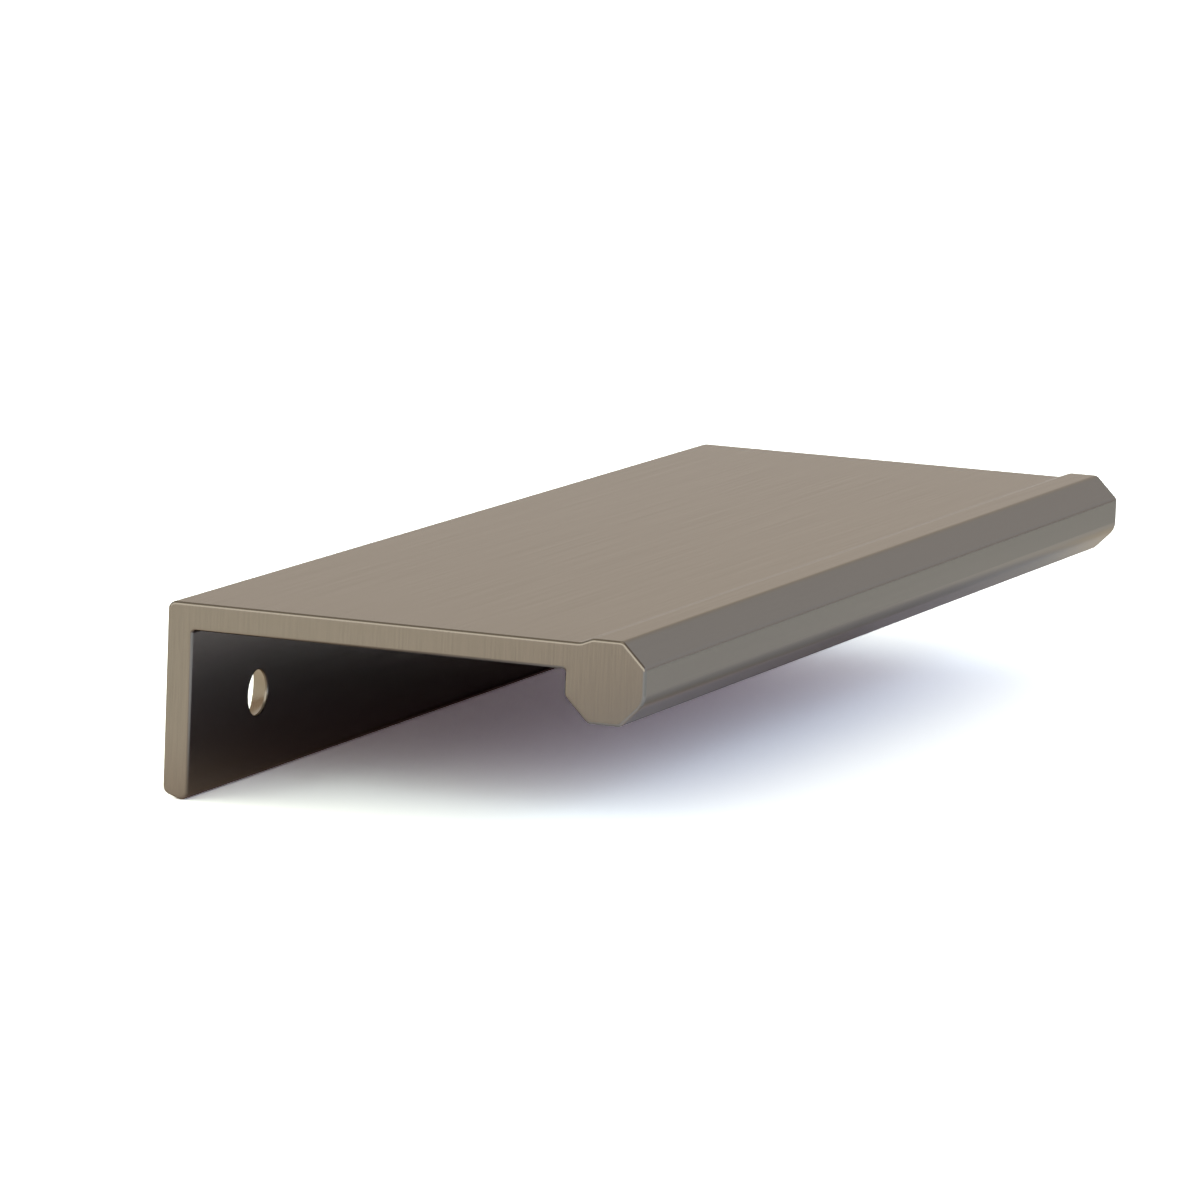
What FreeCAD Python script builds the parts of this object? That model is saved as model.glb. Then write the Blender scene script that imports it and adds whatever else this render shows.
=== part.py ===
import FreeCAD, Part
import math
import os

# A tab pull for the top edge of a drawer front, made as one piece of solid metal.
# A flat plate lies over the drawer front's top edge. A flange goes down behind it,
# with two countersunk holes for the screws. A solid octagonal bar runs along the
# plate's front edge, and the fingers curl round it from above.
#
# X runs along the pull, -Y points to the room and the bar, and +Z is up.
# The origin is midway between the two screw holes, on the flange's mounting face.

# Driving sizes, in millimetres
pull_length = 138.0
plate_thickness = 2.65
flange_thickness = 2.65
flange_height = 19.1      # from the plate's top to the flange's lower edge
reach = 46.5              # from the mounting face to the front of the bar
bar_across_flats = 8.1
bar_rise = 0.5            # the bar's top flat stands this far above the plate's top
sweep_slope = 22.0        # degrees, halfway up the sweep from the plate to the bar
sweep_radius = 1.2        # of the sweep's hollow and of its crest

screw_hole_diameter = 4.5
screw_head_diameter = 9.2
screw_head_angle = 90.0   # degrees, across the countersink
screw_spacing = 107.0
screw_drop = 10.8         # from the plate's top down to the screws

inside_corner_radius = 0.3
edge_radius = 0.8         # ground edges of the plate, flange and bar
grip_radius = 2.0         # the bar's lower front edge, where the fingers pull
heel_width = 1.7          # the flange's lower edge is ground away on its outer side,
heel_height = 0.6         # this far along the edge and this far up the outer face
end_break = 0.3           # rounding all round the two sawn ends
hole_break = 0.1          # small chamfer on the mounting face's hole rims

# Places worked out from the sizes
plate_top = screw_drop
plate_underside = plate_top - plate_thickness
flange_bottom = plate_top - flange_height
half_flats = bar_across_flats / 2
half_side = half_flats * math.tan(math.radians(22.5))
bar_y = -reach + half_flats
bar_z = plate_top + bar_rise - half_flats
sweep_middle = bar_y + half_flats / 2
sweep_half = bar_rise / 2 / math.tan(math.radians(sweep_slope))


def back_of_bar(z):
    """How far along Y the bar's back surface lies at the height z."""
    height_off_centre = abs(z - bar_z)
    return bar_y + min(half_flats, half_flats + half_side - height_off_centre)


def bar_corners():
    """The octagon's corners from the top front one, over the front, to the back again,
    without the ones that the plate runs into."""
    corners = []
    for step in range(1, 8):
        angle = math.radians(67.5 + 45.0 * step)
        radius = half_flats / math.cos(math.radians(22.5))
        y = bar_y + radius * math.cos(angle)
        z = bar_z + radius * math.sin(angle)
        inside_plate = y > bar_y and plate_underside <= z <= plate_top
        if not inside_plate:
            corners.append((y, z, grip_radius if step == 3 else edge_radius))
    return corners


def section_corners():
    """The whole section's corners as (y, z, radius), in order round its outline."""
    plate_corners = [
        (flange_thickness, plate_top, edge_radius),
        (sweep_middle + sweep_half, plate_top, sweep_radius),
        (sweep_middle - sweep_half, plate_top + bar_rise, sweep_radius),
    ]
    underside_corners = [
        (back_of_bar(plate_underside), plate_underside, inside_corner_radius),
        (0.0, plate_underside, inside_corner_radius),
        (0.0, flange_bottom, edge_radius),
        (flange_thickness - heel_width, flange_bottom, edge_radius),
        (flange_thickness, flange_bottom + heel_height, edge_radius),
    ]
    return plate_corners + bar_corners() + underside_corners


def rounded_outline(corners, x):
    """A closed wire through the corners, each rounded to its radius at the place x.
    Where two roundings would meet on a short side, both are made smaller."""
    count = len(corners)
    points = [FreeCAD.Vector(x, y, z) for y, z, radius in corners]
    sides = [points[(i + 1) % count] - points[i] for i in range(count)]
    half_turns = [sides[i - 1].getAngle(sides[i]) / 2 for i in range(count)]
    setbacks = [corners[i][2] * math.tan(half_turns[i]) for i in range(count)]
    room = []
    for i in range(count):
        wanted = setbacks[i] + setbacks[(i + 1) % count]
        room.append(min(1.0, 0.98 * sides[i].Length / wanted))

    arcs = []
    for i in range(count):
        setback = setbacks[i] * min(room[i - 1], room[i])
        radius = setback / math.tan(half_turns[i])
        before = FreeCAD.Vector(sides[i - 1]).normalize()
        after = FreeCAD.Vector(sides[i]).normalize()
        start = points[i] - before * setback
        end = points[i] + after * setback
        to_middle = (after - before).normalize()
        depth = radius / math.cos(half_turns[i]) - radius
        arcs.append(Part.Arc(start, points[i] + to_middle * depth, end))
    edges = []
    for i in range(count):
        arc_end = arcs[i].EndPoint
        next_start = arcs[(i + 1) % count].StartPoint
        edges.append(arcs[i].toShape())
        edges.append(Part.makeLine(arc_end, next_start))
    return Part.Wire(edges)


def extruded_section():
    outline = rounded_outline(section_corners(), -pull_length / 2)
    return Part.Face(outline).extrude(FreeCAD.Vector(pull_length, 0, 0))


def end_edges(solid):
    """The edges that lie wholly in one of the two end planes."""
    def at_end(edge):
        places = [abs(vertex.X) for vertex in edge.Vertexes]
        return min(places) > pull_length / 2 - 0.001
    return [edge for edge in solid.Edges if at_end(edge)]


def screw_hole(x):
    """What the drill and the countersink remove at one screw: the straight hole,
    the head's cone on the flange's outer face and a small chamfer on the other."""
    along = FreeCAD.Vector(0, 1, 0)
    hole_radius = screw_hole_diameter / 2
    head_radius = screw_head_diameter / 2
    slope = math.tan(math.radians(screw_head_angle / 2))
    head_depth = (head_radius - hole_radius) / slope
    spare = flange_thickness
    drill = Part.makeCylinder(
        hole_radius, flange_thickness + 2 * spare, FreeCAD.Vector(x, -spare, 0), along)
    head = Part.makeCone(
        hole_radius, head_radius + spare * slope, head_depth + spare,
        FreeCAD.Vector(x, flange_thickness - head_depth, 0), along)
    rim = Part.makeCone(
        hole_radius + 2 * hole_break, hole_radius, 2 * hole_break,
        FreeCAD.Vector(x, -hole_break, 0), along)
    return drill.fuse([head, rim])


def tab_pull():
    blank = extruded_section()
    rounded = blank.makeFillet(min(end_break, 0.48 * edge_radius), end_edges(blank))
    for side in (-1, 1):
        rounded = rounded.cut(screw_hole(side * screw_spacing / 2))
    return rounded.Solids[0]


os.makedirs("parts", exist_ok=True)
tab_pull().exportStep("parts/tab_pull.step")
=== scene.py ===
from math import radians

import bpy
from mathutils import Matrix, Vector


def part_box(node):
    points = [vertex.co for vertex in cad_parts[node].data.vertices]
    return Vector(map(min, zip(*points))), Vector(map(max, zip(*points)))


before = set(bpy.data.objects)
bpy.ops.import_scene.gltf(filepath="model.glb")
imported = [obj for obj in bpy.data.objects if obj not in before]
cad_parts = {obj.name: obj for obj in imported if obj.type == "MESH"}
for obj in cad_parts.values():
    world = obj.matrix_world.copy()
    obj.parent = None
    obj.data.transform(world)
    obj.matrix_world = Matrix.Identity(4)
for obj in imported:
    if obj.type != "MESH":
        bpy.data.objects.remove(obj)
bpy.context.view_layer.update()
print("Frame loaded")

# in metres; X runs along the pull, -Y points to its finger bar, and Z is up
mm = 0.001
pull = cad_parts["tab_pull"]
lowCorner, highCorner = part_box("tab_pull")


def linearColor(hexText):
    # sRGB hex to linear, with alpha 1
    def channel(start):
        value = int(hexText[start:start + 2], 16) / 255
        return value / 12.92 if value <= 0.04045 else ((value + 0.055) / 1.055) ** 2.4
    return (channel(1), channel(3), channel(5), 1.0)


def addNode(tree, kind, settings=None, sockets=None):
    # one node: its own settings, and for each input a plain value or the output that feeds it
    node = tree.nodes.new(kind)
    for name, value in (settings or {}).items():
        setattr(node, name, value)
    for name, value in (sockets or {}).items():
        if isinstance(value, bpy.types.NodeSocket):
            tree.links.new(value, node.inputs[name])
        else:
            node.inputs[name].default_value = value
    return node


def fillRamp(ramp, stops):
    # gives a colour ramp its stops, each a place from 0 to 1 and a colour
    while len(ramp.elements) < len(stops):
        ramp.elements.new(0.5)
    for element, (place, color) in zip(ramp.elements, stops):
        element.position = place
        element.color = (*color, 1.0)


def newMaterial(name):
    material = bpy.data.materials.new(name)
    material.use_nodes = True
    material.node_tree.nodes.clear()
    return material, material.node_tree


# a real brush line is about 0.05 mm wide, too fine to show, so the lines are drawn coarser
finish = {
    "color": "#968b7b",           # the warm grey of a pewter-toned plating
    "edgeTint": "#e6dacb",        # what stays of the reflection at a grazing angle
    "longLineWidth": 0.22,        # mm across a line that runs along the pull
    "longLineLength": 30.0,       # mm
    "longLineDepth": 0.0004,      # mm
    "longLineShade": 0.985,       # what is left of the colour in its deepest part
    "endLineWidth": 0.22,         # mm across a line on a sawn end
    "endLineLength": 5.0,         # mm
    "endLineDepth": 0.010,        # mm
    "endLineShade": 0.92,
    "lineOctaves": 3.0,           # how much finer the finest lines are
    "lineHarshness": 0.6,         # and how strong they are
    "shadedLines": (0.30, 0.60),  # noise, from the darkest lines to the plain colour
    "roughLines": (0.25, 0.75),   # noise, from the roughest lines to the smoothest
    "roughness": 0.22,
    "roughnessSpread": 0.02,
    "stretch": 0.2,               # anisotropy of the brushing
    "endFace": 0.015,             # mm, within this of its very end the pull is sawn flat
    "endBreak": 0.3,              # mm, and up to here it is rounded and smooth
}


def brushedPewterPlate():
    # plated brass, brushed along its length and linished across its sawn ends:
    # a soft, slightly stretched reflection with hair-fine lines in it
    material, tree = newMaterial("brushedPewterPlate")
    place = addNode(tree, "ShaderNodeTexCoord").outputs["Object"]

    # noise drawn out to a line's length: along X on the pull, and upright on its ends
    longCell = (finish["longLineLength"], finish["longLineWidth"], finish["longLineWidth"])
    endCell = (finish["endLineLength"], finish["endLineWidth"], finish["endLineLength"])
    noises = []
    for cell in (longCell, endCell):
        drawnOut = addNode(tree, "ShaderNodeMapping", sockets={
            "Vector": place, "Scale": [1 / (side * mm) for side in cell]})
        noise = addNode(tree, "ShaderNodeTexNoise", sockets={
            "Vector": drawnOut.outputs["Vector"], "Scale": 1.0,
            "Detail": finish["lineOctaves"], "Roughness": finish["lineHarshness"]})
        noises.append(noise.outputs["Fac"])
    longLines, endLines = noises

    alongPull = addNode(tree, "ShaderNodeSeparateXYZ", sockets={"Vector": place}).outputs["X"]
    fromMiddle = addNode(tree, "ShaderNodeMath", {"operation": "ABSOLUTE"},
                         {0: alongPull}).outputs[0]
    onEnd = addNode(tree, "ShaderNodeMath", {"operation": "GREATER_THAN"},
                    {0: fromMiddle, 1: highCorner.x - finish["endFace"] * mm}).outputs[0]
    onSides = addNode(tree, "ShaderNodeMath", {"operation": "LESS_THAN"},
                      {0: fromMiddle, 1: highCorner.x - finish["endBreak"] * mm}).outputs[0]
    lines = addNode(tree, "ShaderNodeMix", {"data_type": "FLOAT"},
                    {"Factor": onEnd, "A": longLines, "B": endLines}).outputs["Result"]

    # a deeper line is darker and rougher
    darkest = addNode(tree, "ShaderNodeMix", {"data_type": "FLOAT"},
                      {"Factor": onEnd, "A": finish["longLineShade"],
                       "B": finish["endLineShade"]}).outputs["Result"]
    darkLevel, plainLevel = finish["shadedLines"]
    shade = addNode(tree, "ShaderNodeMapRange", sockets={
        "Value": lines, "From Min": darkLevel, "From Max": plainLevel,
        "To Min": darkest}).outputs["Result"]
    color = addNode(tree, "ShaderNodeVectorMath", {"operation": "SCALE"},
                    {0: linearColor(finish["color"])[:3], "Scale": shade}).outputs["Vector"]
    roughLevel, smoothLevel = finish["roughLines"]
    rough = addNode(tree, "ShaderNodeMapRange", sockets={
        "Value": lines, "From Min": roughLevel, "From Max": smoothLevel,
        "To Min": finish["roughness"] + finish["roughnessSpread"],
        "To Max": finish["roughness"] - finish["roughnessSpread"]}).outputs["Result"]

    # the rounding between the sides and the ends has no depth, so it stays smooth
    sideDepth = addNode(tree, "ShaderNodeMath", {"operation": "MULTIPLY"},
                        {0: onSides, 1: finish["longLineDepth"] * mm}).outputs[0]
    depth = addNode(tree, "ShaderNodeMath", {"operation": "MULTIPLY_ADD"},
                    {0: onEnd, 1: finish["endLineDepth"] * mm, 2: sideDepth}).outputs[0]
    bump = addNode(tree, "ShaderNodeBump", sockets={
        "Strength": 1.0, "Distance": depth, "Height": lines}).outputs["Normal"]

    # the reflection stretches along X on the sides and along Z on the ends
    alongX = addNode(tree, "ShaderNodeCombineXYZ", sockets={"X": 1.0}).outputs["Vector"]
    alongZ = addNode(tree, "ShaderNodeCombineXYZ", sockets={"Z": 1.0}).outputs["Vector"]
    brushing = addNode(tree, "ShaderNodeMix", {"data_type": "VECTOR"},
                       {"Factor": onEnd, "A": alongX, "B": alongZ}).outputs["Result"]

    metal = addNode(tree, "ShaderNodeBsdfPrincipled", sockets={
        "Base Color": color, "Metallic": 1.0, "Roughness": rough, "Normal": bump,
        "Specular Tint": linearColor(finish["edgeTint"]),
        "Anisotropic": finish["stretch"], "Tangent": brushing})
    addNode(tree, "ShaderNodeOutputMaterial", sockets={"Surface": metal.outputs["BSDF"]})
    return material


pull.data.materials.clear()
pull.data.materials.append(brushedPewterPlate())
print("Pull finished")

# the card's and the tent's tones are linear, because some are brighter than white
card = {
    "size": 8000.0,                      # mm
    "inCamera": 1.95,                    # its white, exposed past white for the camera
    "plain": 0.85,                       # its white as it lights the pull from below
    # painted light and shade on the card, which only the metal's reflections show:
    "seenSlant": 0.1,
    "seen": [                            # in the metal, by mm of Y less seenSlant times X
        (-94.0, (0.59, 0.675, 0.89)),
        (-90.0, (0.63, 0.72, 0.95)),
        (-86.0, (0.71, 0.80, 1.06)),
        (-81.0, (0.82, 0.90, 1.18)),
        (-60.0, (0.66, 0.75, 1.04)),
        (-52.0, (0.64, 0.73, 0.99)),
        (-49.0, (0.60, 0.66, 0.81)),
        (-46.0, (0.62, 0.63, 0.74)),
        (-42.5, (0.95, 0.96, 1.18)),
        (-40.0, (0.86, 0.90, 1.14)),
        (-36.5, (0.78, 0.86, 1.10)),
        (-20.0, (0.62, 0.63, 0.79)),
        (0.0, (0.56, 0.50, 0.52)),
        (12.0, (0.86, 0.78, 0.82)),
        (33.0, (0.96, 0.92, 0.94)),
        (42.0, (0.90, 0.86, 0.88)),
    ],
    "glowSeen": (0.87, 0.85, 0.89),      # painted light, brighter past the pull's far end
    "glowAlong": (82.0, 104.0),          # mm of X, from none of it to all
    "glowAcross": (-64.0, -48.0),        # mm of Y
    "darkSeen": (0.026, 0.021, 0.029),   # painted shade under the pull
    "darkAmount": 0.975,                 # how deep it is, where 1 is darkSeen itself
    "darkSlant": 0.03,
    "darkAcross": (-40.2, -36.4),        # mm of Y and darkSlant times X, from none to all
    "darkStart": (-85.0, 8.0),           # mm of X
    "darkStop": (37.0, 26.0),            # mm of X, where it fades again
    "darkBack": 0.0,                     # mm of Y, at the flange's inner face
}


def whiteCard():
    # matt white card, clean and even to the camera; what the metal mirrors of it
    # carries painted light and shade, patchy as under a soft tent, with a painted deep shade
    # under the pull
    material, tree = newMaterial("whiteCard")
    ray = addNode(tree, "ShaderNodeLightPath").outputs
    place = addNode(tree, "ShaderNodeTexCoord").outputs["Object"]
    axes = addNode(tree, "ShaderNodeSeparateXYZ", sockets={"Vector": place}).outputs
    seenAcross = addNode(tree, "ShaderNodeMath", {"operation": "MULTIPLY_ADD"},
                         {0: axes["X"], 1: -card["seenSlant"], 2: axes["Y"]}).outputs[0]
    darkAcross = addNode(tree, "ShaderNodeMath", {"operation": "MULTIPLY_ADD"},
                         {0: axes["X"], 1: card["darkSlant"], 2: axes["Y"]}).outputs[0]

    # each fade goes from 0 at its first place to 1 at its second
    fades = {}
    for name, value in (("glowAlong", axes["X"]), ("glowAcross", axes["Y"]),
                        ("darkAcross", darkAcross), ("darkStart", axes["X"]),
                        ("darkStop", axes["X"])):
        start, end = card[name]
        fades[name] = addNode(tree, "ShaderNodeMapRange", sockets={
            "Value": value, "From Min": start * mm, "From Max": end * mm}).outputs["Result"]
    beforeBack = addNode(tree, "ShaderNodeMath", {"operation": "LESS_THAN"},
                         {0: axes["Y"], 1: card["darkBack"] * mm}).outputs[0]

    # the card's painted light and shade across it, by place
    nearest, furthest = card["seen"][0][0], card["seen"][-1][0]
    spread = addNode(tree, "ShaderNodeMapRange", sockets={
        "Value": seenAcross, "From Min": nearest * mm,
        "From Max": furthest * mm}).outputs["Result"]
    tones = addNode(tree, "ShaderNodeValToRGB", sockets={"Fac": spread})
    fillRamp(tones.color_ramp, [((across - nearest) / (furthest - nearest), color)
                                for across, color in card["seen"]])

    # a painted pool of light past the far end, seen only in reflections
    glow = addNode(tree, "ShaderNodeMath", {"operation": "MULTIPLY"},
                   {0: fades["glowAlong"], 1: fades["glowAcross"]}).outputs[0]
    glowing = addNode(tree, "ShaderNodeMix", {"data_type": "RGBA"},
                      {"Factor": glow, "A": tones.outputs["Color"],
                       "B": (*card["glowSeen"], 1.0)}).outputs["Result"]
    # painted shade under the pull, seen only in reflections, stopping at the flange
    dark = card["darkAmount"]
    for share in (fades["darkAcross"], fades["darkStart"], fades["darkStop"], beforeBack):
        dark = addNode(tree, "ShaderNodeMath", {"operation": "MULTIPLY"},
                       {0: share, 1: dark}).outputs[0]
    mirrored = addNode(tree, "ShaderNodeMix", {"data_type": "RGBA"},
                       {"Factor": dark, "A": glowing,
                        "B": (*card["darkSeen"], 1.0)}).outputs["Result"]

    plain, inCamera = [(white, white, white, 1.0) for white in (card["plain"], card["inCamera"])]
    offCamera = addNode(tree, "ShaderNodeMix", {"data_type": "RGBA"},
                        {"Factor": ray["Is Glossy Ray"], "A": plain,
                         "B": mirrored}).outputs["Result"]
    color = addNode(tree, "ShaderNodeMix", {"data_type": "RGBA"},
                    {"Factor": ray["Is Camera Ray"], "A": offCamera,
                     "B": inCamera}).outputs["Result"]
    paper = addNode(tree, "ShaderNodeBsdfDiffuse", sockets={"Color": color})
    addNode(tree, "ShaderNodeOutputMaterial", sockets={"Surface": paper.outputs["BSDF"]})
    return material


def layFloor():
    half = card["size"] * mm / 2
    corners = [(-half, -half, lowCorner.z), (half, -half, lowCorner.z),
               (half, half, lowCorner.z), (-half, half, lowCorner.z)]
    mesh = bpy.data.meshes.new("floor")
    mesh.from_pydata(corners, [], [(0, 1, 2, 3)])
    mesh.materials.append(whiteCard())
    floor = bpy.data.objects.new("floor", mesh)
    bpy.context.scene.collection.objects.link(floor)


# the tent's fill lights the pull, and its panels are what the metal mirrors;
# Y of a direction is 1 straight behind the pull, X is -1 straight to its left,
# and Z is the sine of the elevation
tent = {
    "lowFill": [                         # left and right in front, then left and right behind
        ((0.38, 0.05, 0.05), (1.40, 0.57, 1.26)),
        ((2.77, 2.70, 2.46), (4.50, 4.50, 4.50)),
    ],
    "highFill": [                        # the same, half way up
        ((1.13, 1.22, 1.34), (0.90, 1.31, 1.98)),
        ((2.71, 3.09, 2.69), (1.78, 1.84, 1.41)),
    ],
    "topFill": (0.27, 0.21, 0.09),
    "leftToRight": (-1.0, 1.0),          # X
    "frontToBack": (-1.0, 1.0),          # Y
    "lowToHigh": (0.05, 0.45),           # Z
    "highToTop": (0.65, 0.78),           # Z
    "backPanel": [                       # by Z
        (0.00, (0.50, 0.51, 0.54)),
        (0.07, (0.82, 0.83, 0.86)),
        (0.20, (0.765, 0.785, 0.83)),
        (0.45, (0.45, 0.48, 0.56)),
        (0.78, (0.42, 0.41, 0.40)),
        (0.935, (0.36, 0.33, 0.30)),
        (0.975, (1.00, 0.98, 0.96)),
    ],
    "frontPanel": [
        (0.02, (0.48, 0.52, 0.64)),
        (0.25, (0.59, 0.68, 0.90)),
        (0.45, (0.57, 0.65, 0.83)),
        (0.70, (0.26, 0.24, 0.23)),
        (0.935, (0.36, 0.33, 0.30)),
        (0.975, (1.00, 0.98, 0.96)),
    ],
    "leftPanel": [
        (0.00, (1.20, 1.20, 1.20)),
        (0.10, (1.65, 1.72, 1.78)),
        (0.60, (1.65, 1.72, 1.78)),
        (0.80, (0.55, 0.53, 0.50)),
    ],
    "frontPanelToBack": (-0.15, 0.30),   # Y
    "restToLeftPanel": (-0.40, -0.60),   # X
    "wall": (0.48, 0.38, 0.30),          # low down straight behind
    "panelToWall": (0.72, 0.84),         # Y
    "overToWall": (0.24, 0.13),          # Z
}


def lightRoom():
    world = bpy.data.worlds.new("lightTent")
    bpy.context.scene.world = world
    world.use_nodes = True
    tree = world.node_tree
    tree.nodes.clear()

    direction = addNode(tree, "ShaderNodeTexCoord").outputs["Generated"]
    axes = addNode(tree, "ShaderNodeSeparateXYZ", sockets={"Vector": direction}).outputs
    fades = {}
    for name, axis in (("leftToRight", "X"), ("frontToBack", "Y"), ("lowToHigh", "Z"),
                       ("highToTop", "Z"), ("frontPanelToBack", "Y"),
                       ("restToLeftPanel", "X"), ("panelToWall", "Y"), ("overToWall", "Z")):
        start, end = tent[name]
        fades[name] = addNode(tree, "ShaderNodeMapRange", sockets={
            "Value": axes[axis], "From Min": start, "From Max": end}).outputs["Result"]

    heights = []
    for rows in (tent["lowFill"], tent["highFill"]):
        front, back = [
            addNode(tree, "ShaderNodeMix", {"data_type": "RGBA"},
                    {"Factor": fades["leftToRight"], "A": (*left, 1.0),
                     "B": (*right, 1.0)}).outputs["Result"]
            for left, right in rows]
        height = addNode(tree, "ShaderNodeMix", {"data_type": "RGBA"},
                         {"Factor": fades["frontToBack"], "A": front, "B": back})
        heights.append(height.outputs["Result"])
    low, high = heights
    sides = addNode(tree, "ShaderNodeMix", {"data_type": "RGBA"},
                    {"Factor": fades["lowToHigh"], "A": low, "B": high}).outputs["Result"]
    fillColor = addNode(tree, "ShaderNodeMix", {"data_type": "RGBA"},
                        {"Factor": fades["highToTop"], "A": sides,
                         "B": (*tent["topFill"], 1.0)}).outputs["Result"]

    panels = {}
    for name in ("backPanel", "frontPanel", "leftPanel"):
        tones = addNode(tree, "ShaderNodeValToRGB", sockets={"Fac": axes["Z"]})
        fillRamp(tones.color_ramp, tent[name])
        panels[name] = tones.outputs["Color"]
    onWall = addNode(tree, "ShaderNodeMath", {"operation": "MULTIPLY"},
                     {0: fades["panelToWall"], 1: fades["overToWall"]}).outputs[0]
    behind = addNode(tree, "ShaderNodeMix", {"data_type": "RGBA"},
                     {"Factor": onWall, "A": panels["backPanel"],
                      "B": (*tent["wall"], 1.0)}).outputs["Result"]
    rest = addNode(tree, "ShaderNodeMix", {"data_type": "RGBA"},
                   {"Factor": fades["frontPanelToBack"], "A": panels["frontPanel"],
                    "B": behind}).outputs["Result"]
    shownColor = addNode(tree, "ShaderNodeMix", {"data_type": "RGBA"},
                         {"Factor": fades["restToLeftPanel"], "A": rest,
                          "B": panels["leftPanel"]}).outputs["Result"]

    # a reflection, or a glass, shows the panels, and the camera sees plain white
    ray = addNode(tree, "ShaderNodeLightPath").outputs
    showing = addNode(tree, "ShaderNodeMath", {"operation": "MAXIMUM"},
                      {0: ray["Is Glossy Ray"], 1: ray["Is Transmission Ray"]}).outputs[0]
    fill = addNode(tree, "ShaderNodeBackground", sockets={"Color": fillColor})
    shown = addNode(tree, "ShaderNodeBackground", sockets={"Color": shownColor})
    white = addNode(tree, "ShaderNodeBackground", sockets={"Color": (1.0, 1.0, 1.0, 1.0)})
    offCamera = addNode(tree, "ShaderNodeMixShader", sockets={
        0: showing, 1: fill.outputs[0], 2: shown.outputs[0]})
    room = addNode(tree, "ShaderNodeMixShader", sockets={
        0: ray["Is Camera Ray"], 1: offCamera.outputs[0], 2: white.outputs[0]})
    addNode(tree, "ShaderNodeOutputWorld", sockets={"Surface": room.outputs[0]})


layFloor()
lightRoom()
print("Studio lit")

view = {
    "place": (-717.49, -303.40, 123.14),   # mm
    "lookAt": (-2.29, -14.73, 3.88),       # mm
    "roll": 2.207,                         # degrees
    "lens": 228.44,                        # mm
    "sensor": 36.0,                        # mm
    "clip": (10.0, 50000.0),               # mm
}


def placeCamera():
    lens = bpy.data.cameras.new("camera")
    lens.sensor_width = view["sensor"]
    lens.lens = view["lens"]
    lens.clip_start, lens.clip_end = [distance * mm for distance in view["clip"]]
    camera = bpy.data.objects.new("camera", lens)
    place = Vector(view["place"]) * mm
    ahead = Vector(view["lookAt"]) * mm - place
    aim = ahead.to_track_quat("-Z", "Y").to_matrix().to_4x4()
    roll = Matrix.Rotation(radians(view["roll"]), 4, "Z")
    camera.matrix_world = Matrix.Translation(place) @ aim @ roll
    bpy.context.scene.collection.objects.link(camera)
    bpy.context.scene.camera = camera


placeCamera()
bpy.context.scene.view_settings.view_transform = "Standard"
print("Camera placed")
